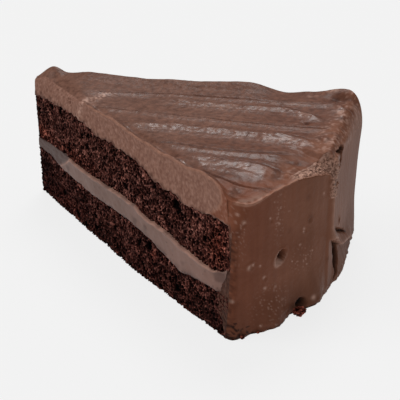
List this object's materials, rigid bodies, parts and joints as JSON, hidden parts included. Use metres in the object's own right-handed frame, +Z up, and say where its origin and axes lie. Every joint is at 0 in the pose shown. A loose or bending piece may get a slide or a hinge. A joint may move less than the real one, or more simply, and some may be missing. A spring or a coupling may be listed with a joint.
{
  "type": "slice of chocolate cake",
  "caption": "Wedge of a round layer cake: dark chocolate sponge, a chocolate cream filling, and thick frosting over the top and down the rim.",
  "frame": {"origin": "middle of the slice's box, on the plane that it rests on", "axes": "+X from the tip of the wedge towards the frosted rim, +Z up, -Y towards the cut face that the picture shows"},
  "size_m": [0.1294, 0.0882, 0.0519],
  "materials": {
    "sponge": "dry, dark brown open crumb, with no gloss",
    "filling": "smooth chocolate cream with a dull sheen",
    "frosting": "spread chocolate frosting with a soft satin sheen"
  },
  "bodies": {
    "root": {"sponge_lower": "sponge", "filling": "filling", "sponge_upper": "sponge", "frosting": "frosting"}
  },
  "joints": []
}
